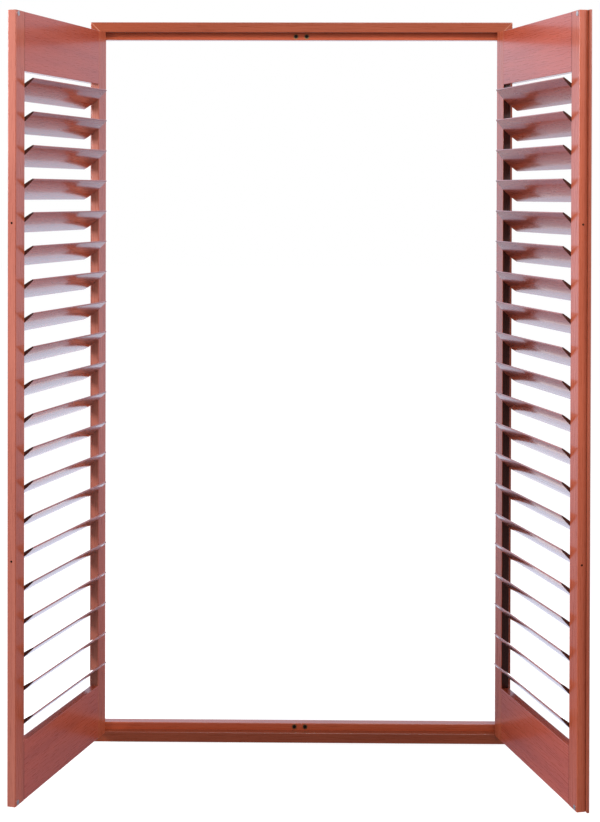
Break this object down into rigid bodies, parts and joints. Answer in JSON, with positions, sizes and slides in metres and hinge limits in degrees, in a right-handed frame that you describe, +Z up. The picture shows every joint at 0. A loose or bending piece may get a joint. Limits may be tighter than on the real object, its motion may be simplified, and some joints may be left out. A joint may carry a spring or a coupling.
{
  "type": "louvred window shutters",
  "caption": "Wooden window shutters with tilting louvres, hinged to their own rectangular frame and standing open.",
  "frame": {"origin": "middle of the frame's underside, halfway through the frame's depth", "axes": "+Z up, +X to the viewer's right, -Y out into the room and +Y towards the window"},
  "size_m": [1.4867, 0.6316, 2.09],
  "materials": {
    "frame_wood": "satin lacquer",
    "panel_wood": "satin lacquer",
    "louvre_wood": "satin lacquer",
    "hinge_steel": "dark bronze",
    "fitting_steel": "zinc plated",
    "magnet": "dark nickel",
    "rack_nylon": "natural"
  },
  "bodies": {
    "window_frame": {"frame_sill": "frame_wood", "frame_head": "frame_wood", "frame_left_jamb": "frame_wood", "frame_right_jamb": "frame_wood", "frame_hinge_leaves": "hinge_steel", "catch_magnets": "magnet"},
    "left_panel": {"left_hinge_stile": "panel_wood", "left_closing_stile": "panel_wood", "left_bottom_rail": "panel_wood", "left_top_rail": "panel_wood", "left_hinge_leaves": "hinge_steel", "left_strikes_and_tension_screws": "fitting_steel"},
    "left_rack": {"left_tilt_rack": "rack_nylon"},
    "left_blade_01": {"left_louvre_01": "louvre_wood"},
    "left_blade_02": {"left_louvre_02": "louvre_wood"},
    "left_blade_03": {"left_louvre_03": "louvre_wood"},
    "left_blade_04": {"left_louvre_04": "louvre_wood"},
    "left_blade_05": {"left_louvre_05": "louvre_wood"},
    "left_blade_06": {"left_louvre_06": "louvre_wood"},
    "left_blade_07": {"left_louvre_07": "louvre_wood"},
    "left_blade_08": {"left_louvre_08": "louvre_wood"},
    "left_blade_09": {"left_louvre_09": "louvre_wood"},
    "left_blade_10": {"left_louvre_10": "louvre_wood"},
    "left_blade_11": {"left_louvre_11": "louvre_wood"},
    "left_blade_12": {"left_louvre_12": "louvre_wood"},
    "left_blade_13": {"left_louvre_13": "louvre_wood"},
    "left_blade_14": {"left_louvre_14": "louvre_wood"},
    "left_blade_15": {"left_louvre_15": "louvre_wood"},
    "left_blade_16": {"left_louvre_16": "louvre_wood"},
    "left_blade_17": {"left_louvre_17": "louvre_wood"},
    "left_blade_18": {"left_louvre_18": "louvre_wood"},
    "left_blade_19": {"left_louvre_19": "louvre_wood"},
    "left_blade_20": {"left_louvre_20": "louvre_wood"},
    "right_panel": {"right_hinge_stile": "panel_wood", "right_closing_stile": "panel_wood", "right_bottom_rail": "panel_wood", "right_top_rail": "panel_wood", "right_hinge_leaves": "hinge_steel", "right_strikes_and_tension_screws": "fitting_steel"},
    "right_rack": {"right_tilt_rack": "rack_nylon"},
    "right_blade_01": {"right_louvre_01": "louvre_wood"},
    "right_blade_02": {"right_louvre_02": "louvre_wood"},
    "right_blade_03": {"right_louvre_03": "louvre_wood"},
    "right_blade_04": {"right_louvre_04": "louvre_wood"},
    "right_blade_05": {"right_louvre_05": "louvre_wood"},
    "right_blade_06": {"right_louvre_06": "louvre_wood"},
    "right_blade_07": {"right_louvre_07": "louvre_wood"},
    "right_blade_08": {"right_louvre_08": "louvre_wood"},
    "right_blade_09": {"right_louvre_09": "louvre_wood"},
    "right_blade_10": {"right_louvre_10": "louvre_wood"},
    "right_blade_11": {"right_louvre_11": "louvre_wood"},
    "right_blade_12": {"right_louvre_12": "louvre_wood"},
    "right_blade_13": {"right_louvre_13": "louvre_wood"},
    "right_blade_14": {"right_louvre_14": "louvre_wood"},
    "right_blade_15": {"right_louvre_15": "louvre_wood"},
    "right_blade_16": {"right_louvre_16": "louvre_wood"},
    "right_blade_17": {"right_louvre_17": "louvre_wood"},
    "right_blade_18": {"right_louvre_18": "louvre_wood"},
    "right_blade_19": {"right_louvre_19": "louvre_wood"},
    "right_blade_20": {"right_louvre_20": "louvre_wood"}
  },
  "joints": [
    {"name": "left_panel_hinge", "type": "hinge", "parent": "window_frame", "child": "left_panel", "pos_m": [-0.585, -0.0275, 1.045], "axis": [0, 0, 1], "range_deg": [-64, 106]},
    {"name": "left_blade_01_tilt", "type": "hinge", "parent": "left_panel", "child": "left_blade_01", "pos_m": [-0.65478, -0.31438, 1.86195], "axis": [-0.2756, -0.9613, 0], "range_deg": [-115, 41]},
    {"name": "left_blade_02_tilt", "type": "hinge", "parent": "left_panel", "child": "left_blade_02", "pos_m": [-0.65478, -0.31438, 1.77585], "axis": [-0.2756, -0.9613, 0], "range_deg": [-115, 41]},
    {"name": "left_blade_03_tilt", "type": "hinge", "parent": "left_panel", "child": "left_blade_03", "pos_m": [-0.65478, -0.31438, 1.68975], "axis": [-0.2756, -0.9613, 0], "range_deg": [-115, 41]},
    {"name": "left_blade_04_tilt", "type": "hinge", "parent": "left_panel", "child": "left_blade_04", "pos_m": [-0.65478, -0.31438, 1.60365], "axis": [-0.2756, -0.9613, 0], "range_deg": [-115, 41]},
    {"name": "left_blade_05_tilt", "type": "hinge", "parent": "left_panel", "child": "left_blade_05", "pos_m": [-0.65478, -0.31438, 1.51755], "axis": [-0.2756, -0.9613, 0], "range_deg": [-115, 41]},
    {"name": "left_blade_06_tilt", "type": "hinge", "parent": "left_panel", "child": "left_blade_06", "pos_m": [-0.65478, -0.31438, 1.43145], "axis": [-0.2756, -0.9613, 0], "range_deg": [-115, 41]},
    {"name": "left_blade_07_tilt", "type": "hinge", "parent": "left_panel", "child": "left_blade_07", "pos_m": [-0.65478, -0.31438, 1.34535], "axis": [-0.2756, -0.9613, 0], "range_deg": [-115, 41]},
    {"name": "left_blade_08_tilt", "type": "hinge", "parent": "left_panel", "child": "left_blade_08", "pos_m": [-0.65478, -0.31438, 1.25925], "axis": [-0.2756, -0.9613, 0], "range_deg": [-115, 41]},
    {"name": "left_blade_09_tilt", "type": "hinge", "parent": "left_panel", "child": "left_blade_09", "pos_m": [-0.65478, -0.31438, 1.17315], "axis": [-0.2756, -0.9613, 0], "range_deg": [-115, 41]},
    {"name": "left_blade_10_tilt", "type": "hinge", "parent": "left_panel", "child": "left_blade_10", "pos_m": [-0.65478, -0.31438, 1.08705], "axis": [-0.2756, -0.9613, 0], "range_deg": [-115, 41]},
    {"name": "left_blade_11_tilt", "type": "hinge", "parent": "left_panel", "child": "left_blade_11", "pos_m": [-0.65478, -0.31438, 1.00095], "axis": [-0.2756, -0.9613, 0], "range_deg": [-115, 41]},
    {"name": "left_blade_12_tilt", "type": "hinge", "parent": "left_panel", "child": "left_blade_12", "pos_m": [-0.65478, -0.31438, 0.91485], "axis": [-0.2756, -0.9613, 0], "range_deg": [-115, 41]},
    {"name": "left_blade_13_tilt", "type": "hinge", "parent": "left_panel", "child": "left_blade_13", "pos_m": [-0.65478, -0.31438, 0.82875], "axis": [-0.2756, -0.9613, 0], "range_deg": [-115, 41]},
    {"name": "left_blade_14_tilt", "type": "hinge", "parent": "left_panel", "child": "left_blade_14", "pos_m": [-0.65478, -0.31438, 0.74265], "axis": [-0.2756, -0.9613, 0], "range_deg": [-115, 41]},
    {"name": "left_blade_15_tilt", "type": "hinge", "parent": "left_panel", "child": "left_blade_15", "pos_m": [-0.65478, -0.31438, 0.65655], "axis": [-0.2756, -0.9613, 0], "range_deg": [-115, 41]},
    {"name": "left_blade_16_tilt", "type": "hinge", "parent": "left_panel", "child": "left_blade_16", "pos_m": [-0.65478, -0.31438, 0.57045], "axis": [-0.2756, -0.9613, 0], "range_deg": [-115, 41]},
    {"name": "left_blade_17_tilt", "type": "hinge", "parent": "left_panel", "child": "left_blade_17", "pos_m": [-0.65478, -0.31438, 0.48435], "axis": [-0.2756, -0.9613, 0], "range_deg": [-115, 41]},
    {"name": "left_blade_18_tilt", "type": "hinge", "parent": "left_panel", "child": "left_blade_18", "pos_m": [-0.65478, -0.31438, 0.39825], "axis": [-0.2756, -0.9613, 0], "range_deg": [-115, 41]},
    {"name": "left_blade_19_tilt", "type": "hinge", "parent": "left_panel", "child": "left_blade_19", "pos_m": [-0.65478, -0.31438, 0.31215], "axis": [-0.2756, -0.9613, 0], "range_deg": [-115, 41]},
    {"name": "left_blade_20_tilt", "type": "hinge", "parent": "left_panel", "child": "left_blade_20", "pos_m": [-0.65478, -0.31438, 0.22605], "axis": [-0.2756, -0.9613, 0], "range_deg": [-115, 41]},
    {"name": "left_rack_slide", "type": "slide", "parent": "left_panel", "child": "left_rack", "axis": [0, 0, 1], "range_m": [-0.00804, 0.00287]},
    {"name": "right_panel_hinge", "type": "hinge", "parent": "window_frame", "child": "right_panel", "pos_m": [0.585, -0.0275, 1.045], "axis": [0, 0, -1], "range_deg": [-66.3, 103.7]},
    {"name": "right_blade_01_tilt", "type": "hinge", "parent": "right_panel", "child": "right_blade_01", "pos_m": [0.64321, -0.31695, 1.86195], "axis": [-0.2368, 0.9715, 0], "range_deg": [-120, 36]},
    {"name": "right_blade_02_tilt", "type": "hinge", "parent": "right_panel", "child": "right_blade_02", "pos_m": [0.64321, -0.31695, 1.77585], "axis": [-0.2368, 0.9715, 0], "range_deg": [-120, 36]},
    {"name": "right_blade_03_tilt", "type": "hinge", "parent": "right_panel", "child": "right_blade_03", "pos_m": [0.64321, -0.31695, 1.68975], "axis": [-0.2368, 0.9715, 0], "range_deg": [-120, 36]},
    {"name": "right_blade_04_tilt", "type": "hinge", "parent": "right_panel", "child": "right_blade_04", "pos_m": [0.64321, -0.31695, 1.60365], "axis": [-0.2368, 0.9715, 0], "range_deg": [-120, 36]},
    {"name": "right_blade_05_tilt", "type": "hinge", "parent": "right_panel", "child": "right_blade_05", "pos_m": [0.64321, -0.31695, 1.51755], "axis": [-0.2368, 0.9715, 0], "range_deg": [-120, 36]},
    {"name": "right_blade_06_tilt", "type": "hinge", "parent": "right_panel", "child": "right_blade_06", "pos_m": [0.64321, -0.31695, 1.43145], "axis": [-0.2368, 0.9715, 0], "range_deg": [-120, 36]},
    {"name": "right_blade_07_tilt", "type": "hinge", "parent": "right_panel", "child": "right_blade_07", "pos_m": [0.64321, -0.31695, 1.34535], "axis": [-0.2368, 0.9715, 0], "range_deg": [-120, 36]},
    {"name": "right_blade_08_tilt", "type": "hinge", "parent": "right_panel", "child": "right_blade_08", "pos_m": [0.64321, -0.31695, 1.25925], "axis": [-0.2368, 0.9715, 0], "range_deg": [-120, 36]},
    {"name": "right_blade_09_tilt", "type": "hinge", "parent": "right_panel", "child": "right_blade_09", "pos_m": [0.64321, -0.31695, 1.17315], "axis": [-0.2368, 0.9715, 0], "range_deg": [-120, 36]},
    {"name": "right_blade_10_tilt", "type": "hinge", "parent": "right_panel", "child": "right_blade_10", "pos_m": [0.64321, -0.31695, 1.08705], "axis": [-0.2368, 0.9715, 0], "range_deg": [-120, 36]},
    {"name": "right_blade_11_tilt", "type": "hinge", "parent": "right_panel", "child": "right_blade_11", "pos_m": [0.64321, -0.31695, 1.00095], "axis": [-0.2368, 0.9715, 0], "range_deg": [-120, 36]},
    {"name": "right_blade_12_tilt", "type": "hinge", "parent": "right_panel", "child": "right_blade_12", "pos_m": [0.64321, -0.31695, 0.91485], "axis": [-0.2368, 0.9715, 0], "range_deg": [-120, 36]},
    {"name": "right_blade_13_tilt", "type": "hinge", "parent": "right_panel", "child": "right_blade_13", "pos_m": [0.64321, -0.31695, 0.82875], "axis": [-0.2368, 0.9715, 0], "range_deg": [-120, 36]},
    {"name": "right_blade_14_tilt", "type": "hinge", "parent": "right_panel", "child": "right_blade_14", "pos_m": [0.64321, -0.31695, 0.74265], "axis": [-0.2368, 0.9715, 0], "range_deg": [-120, 36]},
    {"name": "right_blade_15_tilt", "type": "hinge", "parent": "right_panel", "child": "right_blade_15", "pos_m": [0.64321, -0.31695, 0.65655], "axis": [-0.2368, 0.9715, 0], "range_deg": [-120, 36]},
    {"name": "right_blade_16_tilt", "type": "hinge", "parent": "right_panel", "child": "right_blade_16", "pos_m": [0.64321, -0.31695, 0.57045], "axis": [-0.2368, 0.9715, 0], "range_deg": [-120, 36]},
    {"name": "right_blade_17_tilt", "type": "hinge", "parent": "right_panel", "child": "right_blade_17", "pos_m": [0.64321, -0.31695, 0.48435], "axis": [-0.2368, 0.9715, 0], "range_deg": [-120, 36]},
    {"name": "right_blade_18_tilt", "type": "hinge", "parent": "right_panel", "child": "right_blade_18", "pos_m": [0.64321, -0.31695, 0.39825], "axis": [-0.2368, 0.9715, 0], "range_deg": [-120, 36]},
    {"name": "right_blade_19_tilt", "type": "hinge", "parent": "right_panel", "child": "right_blade_19", "pos_m": [0.64321, -0.31695, 0.31215], "axis": [-0.2368, 0.9715, 0], "range_deg": [-120, 36]},
    {"name": "right_blade_20_tilt", "type": "hinge", "parent": "right_panel", "child": "right_blade_20", "pos_m": [0.64321, -0.31695, 0.22605], "axis": [-0.2368, 0.9715, 0], "range_deg": [-120, 36]},
    {"name": "right_rack_slide", "type": "slide", "parent": "right_panel", "child": "right_rack", "axis": [0, 0, 1], "range_m": [-0.00839, 0.00252]}
  ],
  "couplings": [
    {"joint": "left_blade_02_tilt", "follows": "left_blade_01_tilt", "ratio": 1},
    {"joint": "left_blade_03_tilt", "follows": "left_blade_01_tilt", "ratio": 1},
    {"joint": "left_blade_04_tilt", "follows": "left_blade_01_tilt", "ratio": 1},
    {"joint": "left_blade_05_tilt", "follows": "left_blade_01_tilt", "ratio": 1},
    {"joint": "left_blade_06_tilt", "follows": "left_blade_01_tilt", "ratio": 1},
    {"joint": "left_blade_07_tilt", "follows": "left_blade_01_tilt", "ratio": 1},
    {"joint": "left_blade_08_tilt", "follows": "left_blade_01_tilt", "ratio": 1},
    {"joint": "left_blade_09_tilt", "follows": "left_blade_01_tilt", "ratio": 1},
    {"joint": "left_blade_10_tilt", "follows": "left_blade_01_tilt", "ratio": 1},
    {"joint": "left_blade_11_tilt", "follows": "left_blade_01_tilt", "ratio": 1},
    {"joint": "left_blade_12_tilt", "follows": "left_blade_01_tilt", "ratio": 1},
    {"joint": "left_blade_13_tilt", "follows": "left_blade_01_tilt", "ratio": 1},
    {"joint": "left_blade_14_tilt", "follows": "left_blade_01_tilt", "ratio": 1},
    {"joint": "left_blade_15_tilt", "follows": "left_blade_01_tilt", "ratio": 1},
    {"joint": "left_blade_16_tilt", "follows": "left_blade_01_tilt", "ratio": 1},
    {"joint": "left_blade_17_tilt", "follows": "left_blade_01_tilt", "ratio": 1},
    {"joint": "left_blade_18_tilt", "follows": "left_blade_01_tilt", "ratio": 1},
    {"joint": "left_blade_19_tilt", "follows": "left_blade_01_tilt", "ratio": 1},
    {"joint": "left_blade_20_tilt", "follows": "left_blade_01_tilt", "ratio": 1},
    {"joint": "left_rack_slide", "follows": "left_blade_01_tilt", "m_per_rad": 0.004},
    {"joint": "right_blade_02_tilt", "follows": "right_blade_01_tilt", "ratio": 1},
    {"joint": "right_blade_03_tilt", "follows": "right_blade_01_tilt", "ratio": 1},
    {"joint": "right_blade_04_tilt", "follows": "right_blade_01_tilt", "ratio": 1},
    {"joint": "right_blade_05_tilt", "follows": "right_blade_01_tilt", "ratio": 1},
    {"joint": "right_blade_06_tilt", "follows": "right_blade_01_tilt", "ratio": 1},
    {"joint": "right_blade_07_tilt", "follows": "right_blade_01_tilt", "ratio": 1},
    {"joint": "right_blade_08_tilt", "follows": "right_blade_01_tilt", "ratio": 1},
    {"joint": "right_blade_09_tilt", "follows": "right_blade_01_tilt", "ratio": 1},
    {"joint": "right_blade_10_tilt", "follows": "right_blade_01_tilt", "ratio": 1},
    {"joint": "right_blade_11_tilt", "follows": "right_blade_01_tilt", "ratio": 1},
    {"joint": "right_blade_12_tilt", "follows": "right_blade_01_tilt", "ratio": 1},
    {"joint": "right_blade_13_tilt", "follows": "right_blade_01_tilt", "ratio": 1},
    {"joint": "right_blade_14_tilt", "follows": "right_blade_01_tilt", "ratio": 1},
    {"joint": "right_blade_15_tilt", "follows": "right_blade_01_tilt", "ratio": 1},
    {"joint": "right_blade_16_tilt", "follows": "right_blade_01_tilt", "ratio": 1},
    {"joint": "right_blade_17_tilt", "follows": "right_blade_01_tilt", "ratio": 1},
    {"joint": "right_blade_18_tilt", "follows": "right_blade_01_tilt", "ratio": 1},
    {"joint": "right_blade_19_tilt", "follows": "right_blade_01_tilt", "ratio": 1},
    {"joint": "right_blade_20_tilt", "follows": "right_blade_01_tilt", "ratio": 1},
    {"joint": "right_rack_slide", "follows": "right_blade_01_tilt", "m_per_rad": 0.004}
  ]
}
